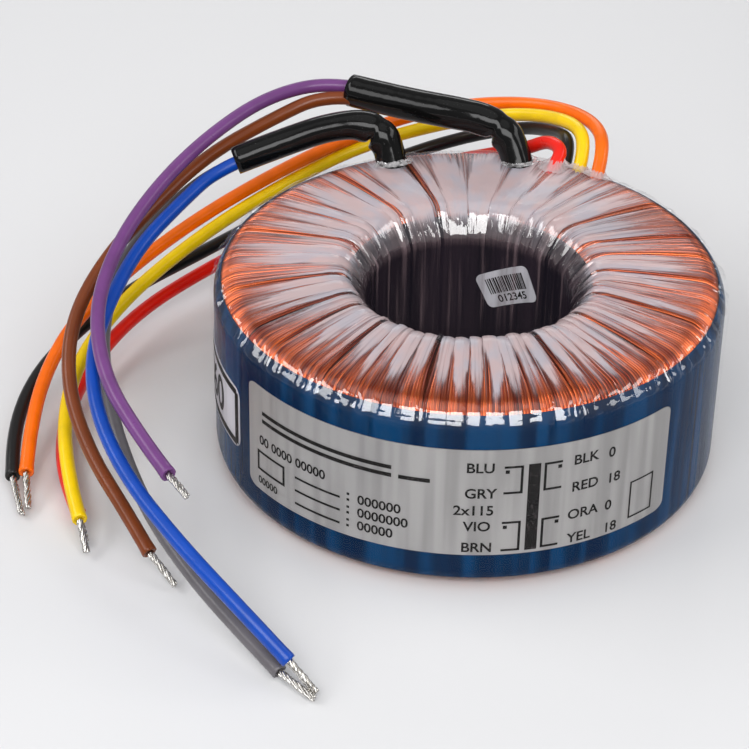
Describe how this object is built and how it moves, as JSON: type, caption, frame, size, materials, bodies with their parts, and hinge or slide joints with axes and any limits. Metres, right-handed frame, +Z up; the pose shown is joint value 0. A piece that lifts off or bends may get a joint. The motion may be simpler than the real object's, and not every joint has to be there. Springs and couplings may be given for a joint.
{
  "type": "toroidal transformer",
  "caption": "Ring-shaped mains transformer: copper windings under clear film, blue edge tape, labels, shrink sleeves and a bundle of insulated leads.",
  "frame": {"origin": "centre of the ring's hole, at its bottom face", "axes": "+Z up along the hole's axis; -Y towards the middle of the rating label; the leads leave the top at +Y and sweep round -X"},
  "size_m": [0.129, 0.1474, 0.0462],
  "materials": {
    "core_steel": "satin",
    "clear_film": "gloss",
    "winding_copper": "gloss",
    "blue_tape": "gloss",
    "silver_label": "satin",
    "white_label": "matte",
    "black_sleeve": "gloss",
    "blue_insulation": "gloss",
    "grey_insulation": "gloss",
    "violet_insulation": "gloss",
    "brown_insulation": "gloss",
    "orange_insulation": "gloss",
    "yellow_insulation": "gloss",
    "black_insulation": "gloss",
    "red_insulation": "gloss",
    "tinned_copper": "satin"
  },
  "bodies": {
    "root": {"core": "core_steel", "core_wrap": "clear_film", "primary_winding_1": "winding_copper", "primary_winding_2": "winding_copper", "barrier_film": "clear_film", "secondary_winding_1": "winding_copper", "secondary_winding_2": "winding_copper", "edge_tape": "blue_tape", "bore_tape": "blue_tape", "rating_label": "silver_label", "side_label": "white_label", "serial_label": "white_label", "outer_film_wrap": "clear_film", "sleeve_1": "black_sleeve", "sleeve_2": "black_sleeve", "lead_blue": "blue_insulation", "lead_grey": "grey_insulation", "lead_violet": "violet_insulation", "lead_brown": "brown_insulation", "lead_orange": "orange_insulation", "lead_yellow": "yellow_insulation", "lead_black": "black_insulation", "lead_red": "red_insulation", "tinned_end_blue": "tinned_copper", "tinned_end_grey": "tinned_copper", "tinned_end_violet": "tinned_copper", "tinned_end_brown": "tinned_copper", "tinned_end_orange": "tinned_copper", "tinned_end_yellow": "tinned_copper", "tinned_end_black": "tinned_copper", "tinned_end_red": "tinned_copper", "primary_splices": "tinned_copper", "secondary_splices": "tinned_copper"}
  },
  "joints": []
}
